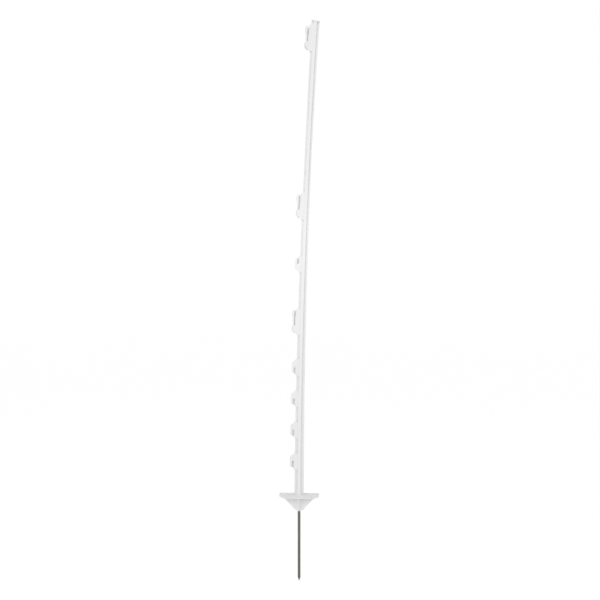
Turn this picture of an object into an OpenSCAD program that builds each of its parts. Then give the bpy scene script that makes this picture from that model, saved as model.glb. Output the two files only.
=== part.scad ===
// Step-in fence post: one white moulding with tape clips, wire lugs and a tread, and a steel ground spike.
// The spike runs along Z with the underside of its socket at z = 0.
// The lugs point to -X, the wires and tapes run along Y, and the post bows towards +X.

/* [Body] */
// Height of the body from the top of the tread to the head
body_height = 1322; // [1100:1:1400]
// Width of the side fins where the body meets the tread
foot_width = 26; // [24:0.5:30]
// Width of the side fins at the narrowest place
neck_width = 18.6; // [17:0.2:22]
// Width of the side fins at the head
head_width = 21.5; // [19:0.5:25]
// Height of the narrowest place above the tread
neck_height = 956; // [860:2:1050]
// Thickness of the side fins
fin_thickness = 5; // [4:0.2:6]
// Depth of the spine from its front face to its back face, at the tread
foot_depth = 19; // [17:0.5:22]
// Depth of the spine at the head
head_depth = 14; // [12:0.5:16]
// Width of the front and back flanges of the spine
flange_width = 8.8; // [7:0.2:10]
// Thickness of the front and back flanges
flange_thickness = 2.4; // [1.8:0.1:3]
// Thickness of the rib between the flanges
rib_thickness = 3.2; // [2.4:0.1:4.5]
// Sideways drift of the head from the starting lean alone
lean_offset = 6.6; // [0:0.2:12]
// Sideways drift of the head from the bow of the post
bow_offset = 40; // [0:1:60]
// Thickness of the plate that closes the head
cap_thickness = 2.6; // [2:0.1:4]
// How far the head plate stands out past the body on each side
cap_overhang = 0.6; // [0.2:0.1:2]
// Slope of the head plate, down towards the side away from the lugs, in degrees
cap_tilt = 11; // [0:0.5:14]

/* [Lugs and clips] */
// Height of the lowest wire lug above the tread
wire_lug_height = 94; // [80:1:110]
// Distance between the four low wire lugs
wire_lug_pitch = 87.5; // [75:0.5:95]
// Number of low wire lugs
wire_lug_count = 4; // [1:1:4]
// Height of the single wire lug between the two middle tape clips
high_wire_height = 644; // [600:1:690]
// Height of the lower tape clip above the tread
low_tape_height = 484; // [450:1:520]
// Height of the middle tape clip above the tread
middle_tape_height = 806; // [770:1:850]
// Distance from the head down to the top tape clip
head_tape_drop = 47; // [46:0.5:90]
// Thickness of each lug finger along the wire
finger_thickness = 4.5; // [3.6:0.1:5.5]
// Gap between the front and the back finger of a lug
finger_gap = 4.6; // [4.4:0.1:6]

/* [Wire lug] */
// Height of a wire lug where it meets the body
wire_root = 48; // [42:1:56]
// Height of the flat outer face of a wire lug
wire_flat = 23; // [16:1:28]
// Thickness of the pad between the body and the wire slot
wire_pad = 2.4; // [1.6:0.1:3.5]
// Width of the wire slot
wire_slot = 5; // [4.6:0.1:6]
// Height of the eye that both fingers leave open
wire_eye = 3; // [2.4:0.1:6]
// Thickness of a wire finger outside the slot
wire_finger = 6; // [4.5:0.1:7]
// Radius of the bead that narrows the mouth of the slot
wire_bead = 0.8; // [0.5:0.1:1.2]

/* [Tape clip] */
// Height of a tape clip where it meets the body
tape_root = 78; // [72:1:90]
// Height of the window that both fingers leave open
tape_window = 21.5; // [20.5:0.5:28]
// Thickness of the pad between the body and the back tape slot
tape_pad = 2.8; // [2:0.1:4]
// How much further out the front tape slot stands than the back one
tape_stagger = 2.8; // [0:0.1:4]
// Width of the tape slot
tape_slot = 4.6; // [4.4:0.1:5.5]
// Thickness of the bar outside the front slot
tape_bar = 4.4; // [3.6:0.1:6]
// How far the lip at a free end stands out past the bar
tape_lip = 2.6; // [1.5:0.1:3.5]
// Height of the lip's outer face
tape_lip_height = 10.5; // [8:0.5:12]
// Height of a free tip above the middle of its clip
tape_tip = 33; // [32:0.5:35]

/* [Tread] */
// Length of the tread along X
tread_length = 111; // [98:1:125]
// Length of the tread's front edge
tread_front_length = 70; // [60:1:80]
// Distance from the spike's axis to the front edge
tread_front = 34; // [30:0.5:42]
// Distance from the spike's axis to the back edge
tread_back = 12; // [11:0.5:20]
// Depth of the tread's square ends
tread_end = 15; // [12:0.5:20]
// Thickness of the tread plate
tread_thickness = 3.2; // [2.6:0.1:4]
// Height of the tread's rim
rim_height = 5.4; // [4.5:0.1:8]
// Thickness of the tread's rim
rim_thickness = 3.2; // [2.8:0.1:4.5]
// Height of the nose along the tread's front edge
nose_height = 2; // [1.4:0.1:2.4]
// How far the nose stands out in front of the front rim
nose_overhang = 6.5; // [1:0.5:9]
// Height of the raised lip along the back edge
back_lip = 2.2; // [1:0.1:4]
// Thickness of the lip, and the margin that the grip ribs leave along the other edges
lip_thickness = 2.8; // [2:0.1:4]
// Height of the grip ribs on top of the tread
grip_height = 0.9; // [0.5:0.1:1.5]
// Width of each grip rib
grip_width = 1.8; // [1.2:0.1:2.4]
// Distance between the grip ribs
grip_pitch = 5.6; // [4.5:0.1:8]

/* [Socket] */
// Height of the top of the tread above the underside of the socket
socket_height = 44; // [38:0.5:52]
// Diameter of the socket around the spike
socket_diameter = 16; // [14:0.5:20]
// Height of the socket's straight collar, below its flare
collar_height = 8; // [5:0.5:16]
// Diameter of the flared socket under the tread
flare_diameter = 23; // [20:0.5:23.5]
// Height of the bevel at the underside of the socket
socket_bevel = 1.6; // [0.6:0.1:2.5]
// Thickness of the webs under the tread
web_thickness = 3.6; // [2.6:0.1:4.4]
// Distance from the spike's axis to where the long web meets the tread
web_reach = 45.5; // [40:0.5:48]
// Height of the webs' lower ends above the underside of the socket
web_rise = 2; // [1:0.5:5]
// How far the webs' blunt lower ends stand out past the socket
web_foot = 2.6; // [1:0.1:5]
// Plastic left around the spike where it stands inside the spine
core_wall = 1.6; // [1.2:0.1:2.5]

/* [Spike] */
// Diameter of the spike below the socket
spike_diameter = 7.8; // [6.8:0.1:9]
// Length of the spike below the socket
spike_length = 194.5; // [150:0.5:220]
// Length of the spike's pointed tip
tip_length = 9.5; // [7:0.5:20]
// Diameter of the flat at the very tip
tip_flat = 1.2; // [0.8:0.1:2]
// Diameter of the shank inside the moulding
shank_diameter = 6.2; // [5:0.1:6.6]
// Length of the shank inside the moulding
shank_length = 60; // [50:1:70]
// Diameter of the locking rings on the shank
ring_diameter = 7.6; // [7:0.1:8.2]
// Height of each locking ring
ring_height = 3; // [2:0.1:4]
// Distance between the locking rings
ring_pitch = 12; // [8:0.5:14]
// Number of locking rings
ring_count = 4; // [1:1:4]
// Clearance between the spike and the plastic moulded round it
insert_gap = 0.05; // [0.02:0.01:0.1]

/* [Hidden] */

$fn = 64;
// Overlap that joins one solid to the next
overlap = 0.5;
// Number of straight stretches that stand for the bow
bow_steps = 16;
// Number of chords that stand for a rounded corner
corner_steps = 3;
// Radius of the small outer corners of the lugs and clips
corner_radius = 1.2;
// Radius of the corners inside the slots
slot_radius = 0.8;
// Rise of a tape clip's end for each millimetre outwards
tape_slope = 1;
// How far each web under the tread reaches into the socket's wall
web_bite = 3;
// Width of the flat at the end of a free tip, and the bevel beside it
tip_width = 1.8;
tip_bevel = 1.4;

tread_top = socket_height;
tread_under = tread_top - tread_thickness;
lug_depth = 2 * finger_thickness + finger_gap;
wire_reach = wire_pad + wire_slot + wire_finger;
tape_reach = tape_pad + tape_stagger + tape_slot + tape_bar;
wire_slope = (wire_root - wire_flat) / 2 / wire_reach;
core_width = ring_diameter + 2 * core_wall;
core_top = shank_length + core_wall;
white_plastic = [0.94, 0.94, 0.93];
dark_steel = [0.42, 0.41, 0.37];

// The tread seen from above, anticlockwise from its back left corner
tread_plan = [
    [-tread_length / 2, tread_back],
    [-tread_length / 2, tread_back - tread_end],
    [-tread_front_length / 2, -tread_front],
    [tread_front_length / 2, -tread_front],
    [tread_length / 2, tread_back - tread_end],
    [tread_length / 2, tread_back]
];

// The bowed centre line and the body's width, by height above the tread
function mix(a, b, t) = a + (b - a) * t;
function axis_x(h) = let (t = h / body_height) lean_offset * t + bow_offset * t * t;
function axis_slope(h) = (lean_offset + 2 * bow_offset * h / body_height) / body_height;
function half_width(h) = h < neck_height
    ? mix(foot_width, neck_width, h / neck_height) / 2
    : mix(neck_width, head_width, (h - neck_height) / max(body_height - neck_height, 1)) / 2;
function width_slope(h) = (half_width(h + 1) - half_width(h - 1)) / 2;
function half_depth(h) = mix(foot_depth, head_depth, h / body_height) / 2;

// How far in from the body's edge, and how far to the front and back, a pad runs to meet the flanges
function pad_root(h) = half_width(h) - flange_width / 2 + overlap;
function pad_half_depth(h) = max(lug_depth / 2, half_depth(h) - flange_thickness + overlap);

// A closed outline moved inwards by d, for a convex outline given anticlockwise
function inward(a, b) = let (t = (b - a) / norm(b - a)) [-t.y, t.x];
function inset(outline, d) = let (n = len(outline)) [
    for (i = [0 : n - 1])
        let (
            before = inward(outline[(i + n - 1) % n], outline[i]),
            after = inward(outline[i], outline[(i + 1) % n])
        )
        outline[i] + d * (before + after) / (1 + before * after)
];

// A closed outline of [x, y, radius] corners, each radius drawn with a few chords
function turn(a, b, c) = let (p = (a - b) / norm(a - b), q = (c - b) / norm(c - b)) acos(p * q);
function rounded(corners) = let (n = len(corners)) [
    for (i = [0 : n - 1])
        let (
            a = [corners[(i + n - 1) % n].x, corners[(i + n - 1) % n].y],
            b = [corners[i].x, corners[i].y],
            c = [corners[(i + 1) % n].x, corners[(i + 1) % n].y],
            r = corners[i][2],
            half = turn(a, b, c) / 2,
            to_a = (a - b) / norm(a - b),
            to_c = (c - b) / norm(c - b),
            centre = b + (to_a + to_c) / norm(to_a + to_c) * r / sin(half),
            start = b + to_a * r / tan(half) - centre,
            stop = b + to_c * r / tan(half) - centre,
            sweep = 180 - 2 * half
        )
        each r == 0
            ? [b]
            : [for (k = [0 : corner_steps])
                let (s = k / corner_steps)
                centre + (start * sin((1 - s) * sweep) + stop * sin(s * sweep)) / sin(sweep)]
];

// An outline in X and Z, drawn through a slab of Y
module slab(from_y, to_y) {
    translate([0, to_y, 0])
        rotate([90, 0, 0])
            linear_extrude(to_y - from_y)
                children();
}

// An outline in Y and Z, drawn through the whole width of X
module side_slab() {
    reach = tread_length + bow_offset + lean_offset;
    translate([-reach, 0, 0])
        rotate([90, 0, 90])
            linear_extrude(2 * reach)
                children();
}

// A strip that follows the bow, reaching a distance given by height either side of the centre line
module bowed_strip(reach) {
    heights = [for (i = [0 : bow_steps]) body_height * i / bow_steps];
    // The strip ends on the slope of the head plate
    drop = reach(body_height) * tan(cap_tilt);
    end = [for (side = [-1, 1]) [axis_x(body_height) + side * reach(body_height), body_height - side * drop]];
    polygon(concat(
        [[-reach(0), -tread_thickness]],
        [for (i = [0 : bow_steps - 1]) let (h = heights[i]) [axis_x(h) - reach(h), h]],
        end,
        [for (i = [bow_steps - 1 : -1 : 0]) let (h = heights[i]) [axis_x(h) + reach(h), h]],
        [[reach(0), -tread_thickness]]
    ));
}

// The spine's front-to-back outline, with its faces moved in by d, up past the sloping head
module depth_outline(d) {
    top = body_height + head_width;
    polygon([
        [-half_depth(0) + d, -tread_thickness],
        [half_depth(0) - d, -tread_thickness],
        [half_depth(0) - d, 0],
        [half_depth(top) - d, top],
        [-half_depth(top) + d, top],
        [-half_depth(0) + d, 0]
    ]);
}

module fins() {
    slab(-fin_thickness / 2, fin_thickness / 2)
        bowed_strip(function(h) half_width(h));
}

module spine() {
    intersection() {
        slab(-foot_depth, foot_depth)
            bowed_strip(function(h) rib_thickness / 2);
        side_slab()
            depth_outline(overlap);
    }
    intersection() {
        slab(-foot_depth, foot_depth)
            bowed_strip(function(h) flange_width / 2);
        side_slab()
            difference() {
                depth_outline(0);
                depth_outline(flange_thickness);
            }
    }
}

// The solid part of the spine that holds the shank above the tread
module core() {
    translate([-core_width / 2, -half_depth(0) + overlap, -tread_thickness])
        cube([core_width, 2 * half_depth(0) - 2 * overlap, core_top - tread_under]);
}

module head_plate() {
    plate_width = head_width + 2 * cap_overhang;
    plate_depth = head_depth + 2 * cap_overhang;
    translate([axis_x(body_height), 0, body_height])
        rotate([0, cap_tilt, 0])
            translate([-plate_width / 2, -plate_depth / 2, -cap_thickness])
                cube([plate_width, plate_depth, cap_thickness]);
}

// Puts a lug or clip drawn with its root at X = 0 on the body's -X edge
module on_edge(h) {
    translate([axis_x(h) - half_width(h), 0, h])
        rotate([0, atan(axis_slope(h) - width_slope(h)), 0])
            children();
}

// The outline of the pad that carries the fingers, with ends that run in with the given slope
module pad_outline(height, thickness, slope, root) {
    polygon([
        [root, height / 2],
        [root, -height / 2],
        [0, -height / 2],
        [-thickness, -height / 2 + thickness * slope],
        [-thickness, height / 2 - thickness * slope],
        [0, height / 2]
    ]);
}

// A finger joined to the pad above the eye and free below it
module wire_finger_outline() {
    slot_out = wire_pad + wire_slot;
    polygon(rounded([
        [0, wire_eye / 2, 0],
        [-slot_out, wire_eye / 2, slot_radius],
        [-slot_out, -wire_root / 2 + wire_slope * slot_out, slot_radius],
        [-wire_reach, -wire_flat / 2, corner_radius],
        [-wire_reach, wire_flat / 2, 2 * corner_radius],
        [0, wire_root / 2, 0]
    ]));
    translate([-slot_out, -wire_flat / 2])
        circle(wire_bead);
}

// A finger joined to its pad below the window and free above it, with the slot outside that pad
module tape_finger_outline(pad) {
    slot_out = pad + tape_slot;
    web_end = slot_out + slot_radius;
    lip_reach = tape_reach + tape_lip;
    lip_foot = tape_window / 2;
    lip_top = lip_foot + tape_lip + tape_lip_height;
    polygon(rounded([
        [0, -tape_root / 2, 0],
        [-web_end, -tape_root / 2 + web_end * tape_slope, corner_radius],
        [-tape_reach, -lip_top, 2 * corner_radius],
        [-tape_reach, lip_foot, slot_radius],
        [-lip_reach, lip_foot + tape_lip, corner_radius],
        [-lip_reach, lip_top, corner_radius],
        [-slot_out - tip_bevel - tip_width, tape_tip, slot_radius],
        [-slot_out - tip_bevel, tape_tip, slot_radius],
        [-slot_out, tape_tip - 3 * tip_bevel, slot_radius],
        [-slot_out, -tape_window / 2, slot_radius],
        [0, -tape_window / 2, 0]
    ]));
    pad_outline(tape_root, pad, tape_slope, overlap);
}

module front_finger() {
    slab(-lug_depth / 2, -finger_gap / 2)
        children();
}

// The back finger stands upside down
module back_finger() {
    slab(finger_gap / 2, lug_depth / 2)
        mirror([0, 1, 0])
            children();
}

module wire_lug(h, front_finger_hangs) {
    on_edge(h) {
        slab(-pad_half_depth(h), pad_half_depth(h))
            pad_outline(wire_root, wire_pad, wire_slope, pad_root(h));
        mirror([0, 0, front_finger_hangs ? 0 : 1]) {
            front_finger()
                wire_finger_outline();
            back_finger()
                wire_finger_outline();
        }
    }
}

module tape_clip(h) {
    on_edge(h) {
        slab(-pad_half_depth(h), pad_half_depth(h))
            pad_outline(tape_root, tape_pad, tape_slope, pad_root(h));
        front_finger()
            tape_finger_outline(tape_pad + tape_stagger);
        back_finger()
            tape_finger_outline(tape_pad);
    }
}

module lugs() {
    for (i = [0 : wire_lug_count - 1])
        wire_lug(wire_lug_height + i * wire_lug_pitch, true);
    wire_lug(high_wire_height, false);
    tape_clip(low_tape_height);
    tape_clip(middle_tape_height);
    tape_clip(body_height - head_tape_drop);
}

module tread() {
    difference() {
        tread_tray();
        front_step();
    }
    translate([-tread_length / 2, tread_back - lip_thickness, tread_top - overlap])
        cube([tread_length, lip_thickness, back_lip + overlap]);
}

// The tread's plate and the rim that hangs from its edge
module tread_tray() {
    translate([0, 0, tread_under])
        linear_extrude(tread_thickness)
            polygon(tread_plan);
    translate([0, 0, tread_top - rim_height])
        linear_extrude(rim_height)
            difference() {
                polygon(tread_plan);
                tread_hollow();
            }
}

// The hollow inside the rim, whose front wall stands behind the nose
module tread_hollow() {
    front = tread_front - nose_overhang - rim_thickness;
    intersection() {
        polygon(inset(tread_plan, rim_thickness));
        translate([-tread_length / 2, -front])
            square([tread_length, front + tread_back]);
    }
}

// The space in front of the front rim, below the nose
module front_step() {
    translate([-tread_length / 2, -tread_front - overlap, tread_top - rim_height - overlap])
        cube([tread_length, nose_overhang + overlap, rim_height - nose_height + overlap]);
}

// Low ribs across the tread that keep a boot from slipping
module grip_ribs() {
    first = -tread_front + lip_thickness + grip_width / 2;
    last = tread_back - lip_thickness - grip_pitch / 2;
    translate([0, 0, tread_top - overlap])
        linear_extrude(grip_height + overlap)
            intersection() {
                polygon(inset(tread_plan, lip_thickness));
                for (y = [first : grip_pitch : last])
                    translate([-tread_length / 2, y - grip_width / 2])
                        square([tread_length, grip_width]);
            }
}

// The triangular webs that carry the tread on the socket: two along the tread and one to the front rim
module webs() {
    web(0, web_reach);
    web(180, web_reach);
    web(-90, tread_front - nose_overhang - overlap);
}

module web(angle, reach) {
    inner = socket_diameter / 2 - web_bite;
    rotate([0, 0, angle])
        slab(-web_thickness / 2, web_thickness / 2)
            polygon([
                [inner, web_rise],
                [socket_diameter / 2 + web_foot, web_rise],
                [reach, tread_top - rim_height + overlap],
                [reach, tread_top - overlap],
                [inner, tread_top - overlap]
            ]);
}

module socket() {
    rotate_extrude()
        polygon([
            [0, 0],
            [socket_diameter / 2 - socket_bevel, 0],
            [socket_diameter / 2, socket_bevel],
            [socket_diameter / 2, collar_height],
            [flare_diameter / 2, tread_under + overlap],
            [0, tread_under + overlap]
        ]);
}

// The shank from the height of its foot up, and its locking rings, each face moved out by gap
module shank(foot, gap) {
    translate([0, 0, foot])
        cylinder(d = shank_diameter + 2 * gap, h = shank_length + gap - foot);
    for (i = [1 : ring_count])
        translate([0, 0, i * ring_pitch - gap])
            cylinder(d = ring_diameter + 2 * gap, h = ring_height + 2 * gap);
}

module moulded_post() {
    color(white_plastic)
        difference() {
            union() {
                translate([0, 0, tread_top]) {
                    fins();
                    spine();
                    core();
                    head_plate();
                    lugs();
                }
                tread();
                grip_ribs();
                webs();
                socket();
            }
            shank(-overlap, insert_gap);
        }
}

module ground_spike() {
    color(dark_steel)
        union() {
            shank(0, 0);
            rotate_extrude()
                polygon([
                    [0, 0],
                    [0, -spike_length],
                    [tip_flat / 2, -spike_length],
                    [spike_diameter / 2, tip_length - spike_length],
                    [spike_diameter / 2, 0]
                ]);
        }
}

moulded_post();
ground_spike();
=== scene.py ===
"""Dresses the step-in fence post: the white moulding with its rounded edges, and the dark steel spike.

Blender's objects are in metres, in the CAD model's frame. The spike runs along Z, the lugs point to -X, and
the camera looks nearly along +Y.
"""

import math

import bmesh
import bpy
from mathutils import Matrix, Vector


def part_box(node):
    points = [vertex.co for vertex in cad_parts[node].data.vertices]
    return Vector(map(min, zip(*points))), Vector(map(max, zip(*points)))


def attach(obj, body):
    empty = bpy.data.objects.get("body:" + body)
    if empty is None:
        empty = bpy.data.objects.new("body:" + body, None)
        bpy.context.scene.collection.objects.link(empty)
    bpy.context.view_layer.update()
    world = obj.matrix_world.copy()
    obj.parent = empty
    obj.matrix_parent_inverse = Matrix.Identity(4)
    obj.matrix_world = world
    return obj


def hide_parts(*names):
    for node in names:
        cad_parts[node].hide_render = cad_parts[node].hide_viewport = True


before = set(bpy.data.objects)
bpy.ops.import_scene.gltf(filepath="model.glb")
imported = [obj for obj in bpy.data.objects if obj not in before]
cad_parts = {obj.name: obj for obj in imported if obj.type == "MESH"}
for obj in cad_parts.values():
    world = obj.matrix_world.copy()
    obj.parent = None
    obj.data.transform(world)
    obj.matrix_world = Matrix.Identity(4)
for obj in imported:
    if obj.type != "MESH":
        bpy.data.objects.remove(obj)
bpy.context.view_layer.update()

MM = 0.001

# The camera, in metres: level, at the height that the photograph's perspective gives
VIEW_WIDTH, VIEW_DISTANCE, CLIP_START = 1.676, 2.0, 0.01
VIEW_CENTRE = Vector((2.6 * MM, 0, 588 * MM))
VIEW_AZIMUTH = math.radians(3)
SENSOR_WIDTH = 36

# The floor and the key light, in metres and watts
FLOOR_RADIUS, FLOOR_SIDES = 80, 96
FLOOR_GREY, FLOOR_ROUGHNESS, FLOOR_GLOW = 0.88, 0.9, 0.3
KEY_PLACE, KEY_SIZE, KEY_POWER = (-0.25, -1.7, 0.9), (0.9, 0.9), 7.2
WHITE = (1, 1, 1, 1)

# The air: its strength, and the Z of the directions between which it dims
AIR_STRENGTH, AIR_BELOW, AIR_ABOVE = 1.0, 0.75, 0.6
AIR_LOW, AIR_HORIZON, AIR_HIGH, AIR_TOP = -0.6, -0.02, 0.45, 0.85

# Plastic: colours, roughness, noise scales for each metre, and how far the streaks are drawn out along Z
PLASTIC_DARK, PLASTIC_LIGHT = (0.785, 0.785, 0.785), (0.82, 0.82, 0.82)
PLASTIC_CLOUD = (0.775, 0.775, 0.775)
PLASTIC_ROUGHNESS = (0.36, 0.5)
STREAK_SCALE, CLOUD_SCALE, GRAIN_SCALE, WAVE_SCALE, GLOSS_SCALE = 55, 9, 1400, 130, 210
STREAK_STRETCH = (1, 1, 0.06)

# Steel: the same for its drawn lines, mottled scale and brown specks
STEEL_DARK, STEEL_LIGHT = (0.155, 0.153, 0.132), (0.228, 0.225, 0.2)
STEEL_MOTTLE, STEEL_SPECK = (0.125, 0.12, 0.105), (0.16, 0.105, 0.06)
STEEL_EDGE_TINT = (0.35, 0.35, 0.34, 1)
STEEL_ROUGHNESS = (0.34, 0.56)
LINE_SCALE, MOTTLE_SCALE, SPECK_SCALE = 900, 160, 420
LINE_STRETCH = (1, 1, 0.012)

# Numbers of the colour sockets on Blender's mix node, where other sockets share their names
MIX_FIRST, MIX_SECOND, MIX_RESULT = 6, 7, 2

# Sizes of the body in millimetres, as in the CAD model
BODY_HEIGHT, NECK_HEIGHT = 1322, 956
FOOT_WIDTH, NECK_WIDTH, HEAD_WIDTH = 26, 18.6, 21.5
FOOT_DEPTH, HEAD_DEPTH = 19, 14
FIN_THICKNESS, RIB_THICKNESS = 5, 3.2
FLANGE_WIDTH, FLANGE_THICKNESS = 8.8, 2.4
LEAN_OFFSET, BOW_OFFSET = 6.6, 40
CAP_THICKNESS, CAP_OVERHANG, CAP_TILT = 2.6, 0.6, math.radians(11)
CORE_WIDTH, CORE_STEP, CORE_TOP = 10.8, 0.5, 61.6

# Sizes of the lugs and clips in millimetres, as in the CAD model
WIRE_LUG_HEIGHT, WIRE_LUG_PITCH, WIRE_LUG_COUNT, HIGH_WIRE_HEIGHT = 94, 87.5, 4, 644
LOW_TAPE_HEIGHT, MIDDLE_TAPE_HEIGHT, HEAD_TAPE_DROP = 484, 806, 47
FINGER_THICKNESS, FINGER_GAP, PAD_SINK = 4.5, 4.6, 0.5
LUG_CORNER, LUG_SHOULDER, SLOT_RADIUS = 1.2, 2.4, 0.8
WIRE_ROOT, WIRE_FLAT, WIRE_PAD, WIRE_SLOT = 48, 23, 2.4, 5
WIRE_EYE, WIRE_FINGER, WIRE_BEAD = 3, 6, 0.8
TAPE_ROOT, TAPE_WINDOW, TAPE_PAD, TAPE_STAGGER, TAPE_SLOT = 78, 21.5, 2.8, 2.8, 4.6
TAPE_BAR, TAPE_LIP, TAPE_LIP_HEIGHT, TAPE_TIP, TAPE_SLOPE = 4.4, 2.6, 10.5, 33, 1
TIP_WIDTH, TIP_BEVEL, TIP_BEVEL_SLOPE = 1.8, 1.4, 3
LUG_DEPTH = 2 * FINGER_THICKNESS + FINGER_GAP
FRONT_FINGER = (-LUG_DEPTH / 2, -FINGER_GAP / 2)
BACK_FINGER = (FINGER_GAP / 2, LUG_DEPTH / 2)
WIRE_OUT = WIRE_PAD + WIRE_SLOT + WIRE_FINGER
WIRE_SLOPE = (WIRE_ROOT - WIRE_FLAT) / 2 / WIRE_OUT
TAPE_OUT = TAPE_PAD + TAPE_STAGGER + TAPE_SLOT + TAPE_BAR

# Sizes of the tread, the socket and the spike in millimetres, as in the CAD model
TREAD_TOP = 44
TREAD_LENGTH, TREAD_FRONT_LENGTH = 111, 70
TREAD_FRONT, TREAD_BACK, TREAD_END = 34, 12, 15
TREAD_THICKNESS, RIM_HEIGHT, RIM_THICKNESS = 3.2, 5.4, 3.2
NOSE_HEIGHT, NOSE_OVERHANG = 2, 6.5
BACK_LIP, LIP_THICKNESS = 2.2, 2.8
GRIP_HEIGHT, GRIP_WIDTH, GRIP_PITCH = 0.9, 1.8, 5.6
SOCKET_RADIUS, SOCKET_BEVEL, COLLAR_HEIGHT, FLARE_RADIUS = 8, 1.6, 8, 11.5
WEB_THICKNESS, WEB_REACH, WEB_RISE, WEB_FOOT, WEB_BITE, WEB_SINK = 3.6, 45.5, 2, 2.6, 3, 0.5
SPIKE_RADIUS, TIP_LENGTH, TIP_FLAT = 3.9, 9.5, 1.2
PLATE_MIDDLE = TREAD_TOP - TREAD_THICKNESS / 2

# Roundings in millimetres that only this dressed model has
EDGE, WEB_EDGE, FILLET = 0.45, 0.6, 0.7
FIN_EDGE, FLANGE_EDGE, CAP_CORNER = 0.6, 0.6, 1.2
TREAD_CORNER, NOSE_DRAFT, GRIP_EDGE = 1.35, 0.2, 0.75 * GRIP_HEIGHT

# The spike's tip: the share of the radius where each rounding starts, and how far in millimetres it reaches
POINT_SHARE, POINT_ROUND = 0.6, 0.25
SHOULDER_SHARE, SHOULDER_ROUND = 0.97, 0.35

# How much smaller in millimetres a form is where its faces would lie in those of the form it joins
HAIR = 0.04

# How finely curves are drawn, and the least angle in radians that stays sharp
CORNER_STEPS, EDGE_STEPS, BEAD_STEPS, LATHE_STEPS, BODY_STEPS = 4, 3, 24, 64, 64
SHARP_ANGLE = math.radians(40)


# Camera and studio

def add_camera():
    camera = bpy.data.objects.new("camera", bpy.data.cameras.new("camera"))
    back = Vector((math.sin(VIEW_AZIMUTH), -math.cos(VIEW_AZIMUTH), 0))
    camera.location = VIEW_CENTRE + VIEW_DISTANCE * back
    camera.rotation_euler = back.to_track_quat("Z", "Y").to_euler()
    camera.data.sensor_width = SENSOR_WIDTH
    camera.data.lens = SENSOR_WIDTH * VIEW_DISTANCE / VIEW_WIDTH
    camera.data.clip_start = CLIP_START
    bpy.context.scene.collection.objects.link(camera)
    bpy.context.scene.camera = camera


def add_key_light(target):
    """One soft rectangle of light, turned towards its target."""
    light = bpy.data.objects.new("key", bpy.data.lights.new("key", "AREA"))
    light.data.shape = "RECTANGLE"
    light.data.size, light.data.size_y = KEY_SIZE
    light.data.energy = KEY_POWER
    light.location = KEY_PLACE
    direction = Vector(KEY_PLACE) - target
    light.rotation_euler = direction.to_track_quat("Z", "Y").to_euler()
    bpy.context.scene.collection.objects.link(light)


def add_floor(height):
    """A pale round floor that meets the white air far off. It neither lights the post nor mirrors in it."""
    work = bmesh.new()
    bmesh.ops.create_circle(work, cap_ends=True, segments=FLOOR_SIDES, radius=FLOOR_RADIUS)
    bmesh.ops.translate(work, verts=work.verts, vec=(0, 0, height))
    mesh = bpy.data.meshes.new("studio_floor")
    work.to_mesh(mesh)
    work.free()
    floor = bpy.data.objects.new("studio_floor", mesh)
    bpy.context.scene.collection.objects.link(floor)
    mesh.materials.append(floor_white())
    floor.visible_diffuse = False
    floor.visible_glossy = False


def add_air():
    """White light from all sides, and less of it from straight above and below."""
    world = bpy.data.worlds.new("studio_air")
    bpy.context.scene.world = world
    world.use_nodes = True
    tree = world.node_tree
    direction = tree.nodes.new("ShaderNodeTexCoord").outputs["Generated"]
    split = tree.nodes.new("ShaderNodeSeparateXYZ")
    tree.links.new(direction, split.inputs["Vector"])
    height = split.outputs["Z"]
    below = map_range(tree, height, (AIR_HORIZON, AIR_LOW), (AIR_STRENGTH, AIR_BELOW))
    above = map_range(tree, height, (AIR_HIGH, AIR_TOP), (AIR_STRENGTH, AIR_ABOVE))
    least = tree.nodes.new("ShaderNodeMath")
    least.operation = "MINIMUM"
    tree.links.new(below, least.inputs[0])
    tree.links.new(above, least.inputs[1])
    background = tree.nodes["Background"]
    background.inputs["Color"].default_value = WHITE
    tree.links.new(least.outputs["Value"], background.inputs["Strength"])


# Materials

def map_range(tree, value, from_range, to_range):
    """Maps a value from one range to another, clamped."""
    ranged = tree.nodes.new("ShaderNodeMapRange")
    ranged.inputs["From Min"].default_value, ranged.inputs["From Max"].default_value = from_range
    ranged.inputs["To Min"].default_value, ranged.inputs["To Max"].default_value = to_range
    tree.links.new(value, ranged.inputs["Value"])
    return ranged.outputs["Result"]


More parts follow.
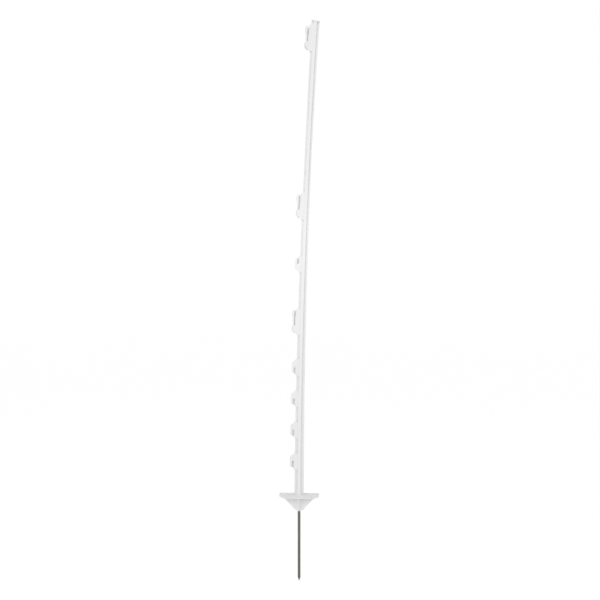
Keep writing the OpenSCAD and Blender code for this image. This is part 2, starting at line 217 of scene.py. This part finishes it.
class Nodes:
    """Short names for building one material's node tree."""

    def __init__(self, name):
        self.material = bpy.data.materials.new(name)
        self.material.use_nodes = True
        self.tree = self.material.node_tree
        self.shader = self.tree.nodes["Principled BSDF"]
        self.place = self.add("ShaderNodeTexCoord").outputs["Object"]

    def add(self, kind):
        return self.tree.nodes.new(kind)

    def link(self, source, target):
        self.tree.links.new(source, target)

    def stretched(self, scale):
        mapping = self.add("ShaderNodeMapping")
        mapping.inputs["Scale"].default_value = scale
        self.link(self.place, mapping.inputs["Vector"])
        return mapping.outputs["Vector"]

    def noise(self, scale, detail, roughness=0.5, vector=None, distortion=0.0):
        noise = self.add("ShaderNodeTexNoise")
        noise.inputs["Scale"].default_value = scale
        noise.inputs["Detail"].default_value = detail
        noise.inputs["Roughness"].default_value = roughness
        noise.inputs["Distortion"].default_value = distortion
        self.link(vector or self.place, noise.inputs["Vector"])
        return noise.outputs["Fac"]

    def between(self, value, from_range, to_range):
        return map_range(self.tree, value, from_range, to_range)

    def blend(self, factor, first, second):
        """Mixes two colours. The first is a fixed colour or another node's output."""
        mix = self.add("ShaderNodeMix")
        mix.data_type = "RGBA"
        self.link(factor, mix.inputs["Factor"])
        if isinstance(first, tuple):
            mix.inputs[MIX_FIRST].default_value = (*first, 1)
        else:
            self.link(first, mix.inputs[MIX_FIRST])
        mix.inputs[MIX_SECOND].default_value = (*second, 1)
        return mix.outputs[MIX_RESULT]

    def bump(self, height, strength, distance, below=None):
        bump = self.add("ShaderNodeBump")
        bump.inputs["Strength"].default_value = strength
        bump.inputs["Distance"].default_value = distance
        self.link(height, bump.inputs["Height"])
        if below:
            self.link(below, bump.inputs["Normal"])
        return bump.outputs["Normal"]

    def into(self, **sockets):
        for name, source in sockets.items():
            self.link(source, self.shader.inputs[name.replace("_", " ")])

    def fixed(self, **sockets):
        for name, value in sockets.items():
            self.shader.inputs[name.replace("_", " ")].default_value = value


def floor_white():
    n = Nodes("studio_white")
    n.fixed(Base_Color=(FLOOR_GREY, FLOOR_GREY, FLOOR_GREY, 1), Roughness=FLOOR_ROUGHNESS)
    n.fixed(Emission_Color=WHITE, Emission_Strength=FLOOR_GLOW)
    return n.material


def white_plastic():
    """Satin white polypropylene with faint flow streaks along the post and a fine moulded grain."""
    n = Nodes("white_plastic")
    streaks = n.noise(STREAK_SCALE, detail=4, vector=n.stretched(STREAK_STRETCH), distortion=0.3)
    clouds = n.noise(CLOUD_SCALE, detail=2)
    streaked = n.between(streaks, from_range=(0.35, 0.65), to_range=(0, 1))
    tone = n.blend(streaked, PLASTIC_DARK, PLASTIC_LIGHT)
    clouded = n.between(clouds, from_range=(0.4, 0.75), to_range=(0, 0.5))
    tone = n.blend(clouded, tone, PLASTIC_CLOUD)
    grain = n.noise(GRAIN_SCALE, detail=2, roughness=0.6)
    waves = n.noise(WAVE_SCALE, detail=2)
    gloss = n.noise(GLOSS_SCALE, detail=5, roughness=0.65)
    rough = n.between(gloss, from_range=(0.3, 0.7), to_range=PLASTIC_ROUGHNESS)
    normal = n.bump(waves, strength=0.12, distance=0.4 * MM)
    normal = n.bump(grain, strength=0.1, distance=0.06 * MM, below=normal)
    n.into(Base_Color=tone, Roughness=rough, Normal=normal)
    n.fixed(IOR=1.49, Specular_IOR_Level=0.3)
    return n.material


def spike_steel():
    """Dull drawn spring steel: lines along the rod, mottled scale and a few brown specks."""
    n = Nodes("spike_steel")
    lines = n.noise(LINE_SCALE, detail=4, vector=n.stretched(LINE_STRETCH))
    mottle = n.noise(MOTTLE_SCALE, detail=6, roughness=0.65)
    specks = n.noise(SPECK_SCALE, detail=4, roughness=0.7)
    lined = n.between(lines, from_range=(0.3, 0.7), to_range=(0, 1))
    tone = n.blend(lined, STEEL_DARK, STEEL_LIGHT)
    mottled = n.between(mottle, from_range=(0.5, 0.7), to_range=(0, 0.55))
    tone = n.blend(mottled, tone, STEEL_MOTTLE)
    specked = n.between(specks, from_range=(0.64, 0.72), to_range=(0, 0.5))
    tone = n.blend(specked, tone, STEEL_SPECK)
    rough = n.between(mottle, from_range=(0.3, 0.7), to_range=STEEL_ROUGHNESS)
    normal = n.bump(lines, strength=0.25, distance=0.03 * MM)
    normal = n.bump(mottle, strength=0.2, distance=0.05 * MM, below=normal)
    n.into(Base_Color=tone, Roughness=rough, Normal=normal)
    n.fixed(Metallic=0.85, Specular_Tint=STEEL_EDGE_TINT)
    return n.material


# Closed shells, each built from rings of points in millimetres

def rounded(corners):
    """A closed outline of (x, y, radius) corners, each radius drawn with chords."""
    points = []
    for i, (x, y, radius) in enumerate(corners):
        here = Vector((x, y))
        to_before = (Vector(corners[i - 1][:2]) - here).normalized()
        to_after = (Vector(corners[(i + 1) % len(corners)][:2]) - here).normalized()
        if radius == 0:
            points.append(here)
            continue
        half = to_before.angle(to_after) / 2
        centre = here + (to_before + to_after).normalized() * radius / math.sin(half)
        start = here + to_before * radius / math.tan(half) - centre
        stop = here + to_after * radius / math.tan(half) - centre
        sweep = math.pi - 2 * half
        for k in range(CORNER_STEPS + 1):
            share = k / CORNER_STEPS
            spoke = start * math.sin((1 - share) * sweep) + stop * math.sin(share * sweep)
            points.append(centre + spoke / math.sin(sweep))
    return points


def inset(outline, distance):
    """The outline moved inwards. It runs anticlockwise."""
    moved = []
    for i, here in enumerate(outline):
        before = (here - outline[i - 1]).normalized()
        after = (outline[(i + 1) % len(outline)] - here).normalized()
        normals = Vector((-before.y - after.y, before.x + after.x))
        moved.append(here + normals * distance / (1 + before.dot(after)))
    return moved


def full_turn(steps):
    """Angles spread evenly round a circle."""
    return [2 * math.pi * i / steps for i in range(steps)]


def circle(x, y, radius):
    return [Vector((x + radius * math.cos(t), y + radius * math.sin(t))) for t in full_turn(BEAD_STEPS)]


def box_outline(half_x, half_y, radius, centre=(0, 0)):
    x, y = centre
    signs = ((1, 1), (-1, 1), (-1, -1), (1, -1))
    return rounded([(x + a * half_x, y + b * half_y, radius) for a, b in signs])


def round_over(edge):
    """The (inset, depth) pairs of a rounded edge, from its flat face to its side."""
    turns = [math.pi / 2 * k / EDGE_STEPS for k in range(EDGE_STEPS + 1)]
    return [(edge * (1 - math.sin(t)), edge * (1 - math.cos(t))) for t in turns]


def round_under(edge):
    """The same pairs from the side to the flat face."""
    return list(reversed(round_over(edge)))


def shell(work, rings):
    """A closed shell through rings of points, each with the same count."""
    layers = [[work.verts.new(Vector(point) * MM) for point in ring] for ring in rings]
    faces = []
    for below, above in zip(layers, layers[1:]):
        for i in range(len(below)):
            j = (i + 1) % len(below)
            faces.append(work.faces.new((below[i], below[j], above[j], above[i])))
    faces.append(work.faces.new(layers[0]))
    faces.append(work.faces.new(layers[-1]))
    bmesh.ops.recalc_face_normals(work, faces=faces)


def prism(work, outline, low, high, edge, place):
    """An outline drawn from low to high, with both ends' edges rounded."""
    levels = [(inward, low + depth) for inward, depth in round_over(edge)]
    levels += [(inward, high - depth) for inward, depth in round_under(edge)]
    shell(work, [[place(p.x, p.y, level) for p in inset(outline, inward)] for inward, level in levels])


def flat(x, y, z):
    """Places an outline that is seen from above."""
    return Vector((x, y, z))


def tilted(root, tilt, x, y, z):
    """The point turned about Y, so that a positive tilt lowers its +X side, and moved to the root."""
    across = x * math.cos(tilt) + z * math.sin(tilt)
    up = z * math.cos(tilt) - x * math.sin(tilt)
    return root + Vector((across, y, up))


def lathe(work, profile):
    """A shell turned about Z from (radius, height) pairs."""
    turns = full_turn(LATHE_STEPS)
    shell(work, [[(r * math.cos(t), r * math.sin(t), z) for t in turns] for r, z in profile])


def finish_piece(work, name, material, node):
    """Turns the shells into a piece that replaces its CAD node."""
    mesh = bpy.data.meshes.new(name)
    for face in work.faces:
        face.smooth = True
    work.to_mesh(mesh)
    work.free()
    mesh.set_sharp_from_angle(angle=SHARP_ANGLE)
    mesh.materials.append(material)
    piece = bpy.data.objects.new(name, mesh)
    bpy.context.scene.collection.objects.link(piece)
    weighted = piece.modifiers.new("flat_faces_stay_flat", "WEIGHTED_NORMAL")
    weighted.keep_sharp = True
    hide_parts(node)
    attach(piece, "root")


# The body: its centre line and widths by height above the tread

def mix(a, b, share):
    return a + (b - a) * share


def axis_x(h):
    share = max(h, 0) / BODY_HEIGHT
    return LEAN_OFFSET * share + BOW_OFFSET * share * share


def axis_slope(h):
    return (LEAN_OFFSET + 2 * BOW_OFFSET * h / BODY_HEIGHT) / BODY_HEIGHT


def half_width(h):
    if h < NECK_HEIGHT:
        return mix(FOOT_WIDTH, NECK_WIDTH, max(h, 0) / NECK_HEIGHT) / 2
    return mix(NECK_WIDTH, HEAD_WIDTH, (h - NECK_HEIGHT) / (BODY_HEIGHT - NECK_HEIGHT)) / 2


def half_depth(h):
    return mix(FOOT_DEPTH, HEAD_DEPTH, max(h, 0) / BODY_HEIGHT) / 2


def body_section(h):
    """The body's outline at one height: side fins, rib, and front and back flanges."""
    width, depth, fin = half_width(h), half_depth(h), FIN_THICKNESS / 2
    rib, flange, neck = RIB_THICKNESS / 2, FLANGE_WIDTH / 2, depth - FLANGE_THICKNESS
    quarter = [
        (width, fin, FIN_EDGE), (rib, fin, FILLET), (rib, neck, FILLET),
        (flange, neck, FLANGE_EDGE), (flange, depth, FLANGE_EDGE),
    ]
    back = quarter + [(-x, y, r) for x, y, r in reversed(quarter)]
    corners = back + [(-x, -y, r) for x, y, r in back]
    return [(axis_x(h) + p.x, p.y, TREAD_TOP + h) for p in rounded(corners)]


def add_body(work):
    """The body's shell, which ends on a slope inside the head plate."""
    foot, head = -TREAD_THICKNESS / 2, BODY_HEIGHT - CAP_THICKNESS / 2
    sections = [body_section(mix(foot, head, i / BODY_STEPS)) for i in range(BODY_STEPS + 1)]
    sections[-1] = [(x, y, z - (x - axis_x(head)) * math.tan(CAP_TILT)) for x, y, z in sections[-1]]
    shell(work, sections)


def add_core(work):
    """The block that holds the shank just above the tread."""
    outline = box_outline(CORE_WIDTH / 2, FOOT_DEPTH / 2 - CORE_STEP, EDGE)
    prism(work, outline, PLATE_MIDDLE, CORE_TOP, EDGE, flat)


def add_head_plate(work):
    top = Vector((axis_x(BODY_HEIGHT), 0, TREAD_TOP + BODY_HEIGHT))

    def place(x, y, z):
        return tilted(top, CAP_TILT, x, y, z)

    outline = box_outline(HEAD_WIDTH / 2 + CAP_OVERHANG, HEAD_DEPTH / 2 + CAP_OVERHANG, CAP_CORNER)
    prism(work, outline, -CAP_THICKNESS, 0, EDGE, place)


# Lugs and clips

def on_edge(h):
    """Places a lug's outline, drawn with its root at x = 0, on the body's -X edge at height h."""
    width_slope = (half_width(h + 1) - half_width(h - 1)) / 2
    tilt = math.atan(axis_slope(h) - width_slope)
    root = Vector((axis_x(h) - half_width(h), 0, TREAD_TOP + h))

    def place(x, z, y):
        return tilted(root, tilt, x, y, z)

    return place


def upside_down(outline):
    return [Vector((p.x, -p.y)) for p in reversed(outline)]


def pad_root(h):
    """How far in from the body's edge the pads and fingers run, into the flanges."""
    return half_width(h) - FLANGE_WIDTH / 2 + 2 * PAD_SINK


def add_pad(work, h, root_height, thickness, slope):
    """The pad behind both fingers, a hair smaller than they are. It reaches the flanges' inner faces."""
    half = root_height / 2 - HAIR
    outer = thickness - HAIR
    outline = rounded([
        (pad_root(h), half, 0), (0, half, 0),
        (-outer, half - outer * slope, EDGE), (-outer, -half + outer * slope, EDGE),
        (0, -half, 0), (pad_root(h), -half, 0),
    ])
    reach = max(LUG_DEPTH / 2 - HAIR, half_depth(h) - FLANGE_THICKNESS + PAD_SINK)
    prism(work, outline, -reach, reach, EDGE, on_edge(h))


def wire_finger(h):
    """A finger with its pad, joined above the eye and free below it."""
    slot_out, root = WIRE_PAD + WIRE_SLOT, pad_root(h)
    half = WIRE_ROOT / 2
    return rounded([
        (root, half, 0), (0, half, 0),
        (-WIRE_OUT, WIRE_FLAT / 2, LUG_SHOULDER), (-WIRE_OUT, -WIRE_FLAT / 2, LUG_CORNER),
        (-slot_out, -half + WIRE_SLOPE * slot_out, SLOT_RADIUS),
        (-slot_out, WIRE_EYE / 2, SLOT_RADIUS), (-WIRE_PAD, WIRE_EYE / 2, SLOT_RADIUS),
        (-WIRE_PAD, -half + WIRE_SLOPE * WIRE_PAD, EDGE), (0, -half, 0), (root, -half, 0),
    ])


def add_wire_lug(work, h, front_hangs):
    """Two offset fingers with a bead at each slot's mouth."""
    place, outline = on_edge(h), wire_finger(h)
    bead = circle(-WIRE_PAD - WIRE_SLOT, -WIRE_FLAT / 2, WIRE_BEAD)
    if not front_hangs:
        outline, bead = upside_down(outline), upside_down(bead)
    add_pad(work, h, WIRE_ROOT, WIRE_PAD, WIRE_SLOPE)
    prism(work, outline, *FRONT_FINGER, EDGE, place)
    prism(work, upside_down(outline), *BACK_FINGER, EDGE, place)
    inner, outer = FINGER_GAP / 2 + EDGE, LUG_DEPTH / 2 - EDGE
    prism(work, bead, -outer, -inner, WIRE_BEAD / 2, place)
    prism(work, upside_down(bead), inner, outer, WIRE_BEAD / 2, place)


def tape_finger(h, pad):
    """A finger with its pad, joined below the window and free above it."""
    slot_out, root = pad + TAPE_SLOT, pad_root(h)
    web_end = slot_out + SLOT_RADIUS
    half, window = TAPE_ROOT / 2, TAPE_WINDOW / 2
    lip_out, lip_top = TAPE_OUT + TAPE_LIP, window + TAPE_LIP + TAPE_LIP_HEIGHT
    return list(reversed(rounded([
        (root, -half, 0), (0, -half, 0), (-web_end, -half + web_end * TAPE_SLOPE, LUG_CORNER),
        (-TAPE_OUT, -lip_top, LUG_SHOULDER), (-TAPE_OUT, window, SLOT_RADIUS),
        (-lip_out, window + TAPE_LIP, LUG_CORNER), (-lip_out, lip_top, LUG_CORNER),
        (-slot_out - TIP_BEVEL - TIP_WIDTH, TAPE_TIP, SLOT_RADIUS),
        (-slot_out - TIP_BEVEL, TAPE_TIP, SLOT_RADIUS),
        (-slot_out, TAPE_TIP - TIP_BEVEL_SLOPE * TIP_BEVEL, SLOT_RADIUS),
        (-slot_out, -window, SLOT_RADIUS), (-pad, -window, SLOT_RADIUS),
        (-pad, half - pad * TAPE_SLOPE, EDGE), (0, half, 0), (root, half, 0),
    ])))


def add_tape_clip(work, h):
    """Two offset fingers, with the front slot further out than the back one."""
    place = on_edge(h)
    front, back = tape_finger(h, TAPE_PAD + TAPE_STAGGER), upside_down(tape_finger(h, TAPE_PAD))
    add_pad(work, h, TAPE_ROOT, TAPE_PAD, TAPE_SLOPE)
    prism(work, front, *FRONT_FINGER, EDGE, place)
    prism(work, back, *BACK_FINGER, EDGE, place)


# The tread, its webs and the socket

def tread_outline(inward):
    """The tread seen from above, anticlockwise, moved inwards and with its corners rounded."""
    ends, front = TREAD_LENGTH / 2, TREAD_FRONT_LENGTH / 2
    corners = [
        (ends, TREAD_BACK), (-ends, TREAD_BACK), (-ends, TREAD_BACK - TREAD_END),
        (-front, -TREAD_FRONT), (front, -TREAD_FRONT), (ends, TREAD_BACK - TREAD_END),
    ]
    radius = max(TREAD_CORNER - inward, EDGE)
    return rounded([(p.x, p.y, radius) for p in inset([Vector(c) for c in corners], inward)])


def half_length_at(outline, y):
    """How far the outline reaches along X at one y."""
    reach = 0
    for a, b in zip(outline, outline[1:] + outline[:1]):
        if min(a.y, b.y) <= y <= max(a.y, b.y) and a.y != b.y:
            reach = max(reach, mix(a.x, b.x, (y - a.y) / (b.y - a.y)))
    return reach


def cut_back(outline, limit):
    """The outline with its front edge moved back to y = limit."""
    front = [p for p in outline if p.y < limit]
    if not front:
        return outline
    shift = half_length_at(outline, limit) - max(p.x for p in front)
    return [Vector((p.x + math.copysign(shift, p.x), limit)) if p.y < limit else p for p in outline]


def add_tray(work):
    """The tread's plate and the rim that hangs from its edge, as one shell.

    Each level holds how far in it lies, its height, and how far back its front edge starts, because the
    front rim stands behind the nose.
    """
    rim_foot, plate_under = TREAD_TOP - RIM_HEIGHT, TREAD_TOP - TREAD_THICKNESS
    nose_under = TREAD_TOP - NOSE_HEIGHT
    rim_back = NOSE_OVERHANG + RIM_THICKNESS
    levels = [(inward, TREAD_TOP - depth, 0) for inward, depth in round_over(EDGE)]
    levels += [(0, nose_under + depth, inward) for inward, depth in round_under(EDGE)]
    levels += [(0, nose_under - NOSE_DRAFT, NOSE_OVERHANG)]
    for inward, depth in round_under(EDGE):
        levels.append((inward, rim_foot + depth, NOSE_OVERHANG + inward))
    for inward, depth in round_over(EDGE):
        levels.append((RIM_THICKNESS - inward, rim_foot + depth, rim_back - inward))
    for inward, depth in round_under(FILLET):
        levels.append((RIM_THICKNESS + inward, plate_under - depth, rim_back + inward))
    rings = []
    for inward, z, start in levels:
        outline = cut_back(tread_outline(inward), start - TREAD_FRONT)
        rings.append([(p.x, p.y, z) for p in outline])
    shell(work, rings)


def add_back_lip(work):
    """The raised lip, a hair smaller than the tread on each side."""
    half = LIP_THICKNESS / 2
    outline = box_outline(TREAD_LENGTH / 2 - HAIR, half - HAIR, half - 2 * HAIR, (0, TREAD_BACK - half))
    prism(work, outline, PLATE_MIDDLE, TREAD_TOP + BACK_LIP, EDGE, flat)


def add_grip_ribs(work):
    """Low rounded ribs along X, as long as the tread leaves room for inside its margin."""
    inside, half = tread_outline(LIP_THICKNESS), GRIP_WIDTH / 2
    y = -TREAD_FRONT + LIP_THICKNESS + half
    while y <= TREAD_BACK - LIP_THICKNESS - GRIP_PITCH / 2:
        reach = half_length_at(inside, y - half) - half
        outline = box_outline(reach, half, half - HAIR, (0, y))
        prism(work, outline, TREAD_TOP - GRIP_HEIGHT, TREAD_TOP + GRIP_HEIGHT, GRIP_EDGE, flat)
        y += GRIP_PITCH


def add_web(work, angle, reach):
    """A triangular web from the socket's wall out to the tread's underside."""
    inner = SOCKET_RADIUS - WEB_BITE
    outline = rounded([
        (inner, WEB_RISE, 0), (SOCKET_RADIUS + WEB_FOOT, WEB_RISE, EDGE),
        (reach, TREAD_TOP - RIM_HEIGHT + WEB_SINK, EDGE), (reach, PLATE_MIDDLE, 0),
        (inner, PLATE_MIDDLE, 0),
    ])

    def place(radius, z, sideways):
        x = radius * math.cos(angle) - sideways * math.sin(angle)
        y = radius * math.sin(angle) + sideways * math.cos(angle)
        return Vector((x, y, z))

    prism(work, outline, -WEB_THICKNESS / 2, WEB_THICKNESS / 2, WEB_EDGE, place)


def add_webs(work):
    """Two long webs along the tread and one to its front rim."""
    add_web(work, 0, WEB_REACH)
    add_web(work, math.pi, WEB_REACH)
    add_web(work, -math.pi / 2, TREAD_FRONT - NOSE_OVERHANG - WEB_SINK)


def add_socket(work):
    profile = [(SOCKET_RADIUS - SOCKET_BEVEL - inward, depth) for inward, depth in round_over(EDGE)]
    profile += [(SOCKET_RADIUS, SOCKET_BEVEL), (SOCKET_RADIUS, COLLAR_HEIGHT), (FLARE_RADIUS, PLATE_MIDDLE)]
    lathe(work, profile)


# The steel spike

def add_spike(work, point):
    """The rod from its point up to the socket's underside at z = 0. Its shank is inside and isn't drawn."""
    radius, shoulder = SPIKE_RADIUS, point + TIP_LENGTH
    lathe(work, [
        (TIP_FLAT / 2 * POINT_SHARE, point), (TIP_FLAT / 2, point + POINT_ROUND),
        (radius * SHOULDER_SHARE, shoulder - SHOULDER_ROUND), (radius, shoulder + SHOULDER_ROUND),
        (radius, -SOCKET_BEVEL), (radius, 0),
    ])


# The scene, put together

def moulded_piece(name, *builders):
    work = bmesh.new()
    for build in builders:
        build(work)
    finish_piece(work, name, plastic, "moulded_post")


bpy.context.scene.view_settings.view_transform = "Standard"
add_camera()
spike_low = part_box("ground_spike")[0]
add_floor(spike_low.z)
add_air()
add_key_light(VIEW_CENTRE)

plastic = white_plastic()
moulded_piece("body", add_body, add_core, add_head_plate)
wire_lug_heights = [WIRE_LUG_HEIGHT + WIRE_LUG_PITCH * i for i in range(WIRE_LUG_COUNT)]
for number, height in enumerate(wire_lug_heights + [HIGH_WIRE_HEIGHT], 1):
    moulded_piece(f"wire_lug_{number}", lambda work: add_wire_lug(work, height, height != HIGH_WIRE_HEIGHT))
tape_clip_heights = [LOW_TAPE_HEIGHT, MIDDLE_TAPE_HEIGHT, BODY_HEIGHT - HEAD_TAPE_DROP]
for number, height in enumerate(tape_clip_heights, 1):
    moulded_piece(f"tape_clip_{number}", lambda work: add_tape_clip(work, height))
moulded_piece("tread", add_tray, add_back_lip, add_grip_ribs)
moulded_piece("socket", add_socket, add_webs)

spike_work = bmesh.new()
add_spike(spike_work, spike_low.z / MM)
finish_piece(spike_work, "spike", spike_steel(), "ground_spike")
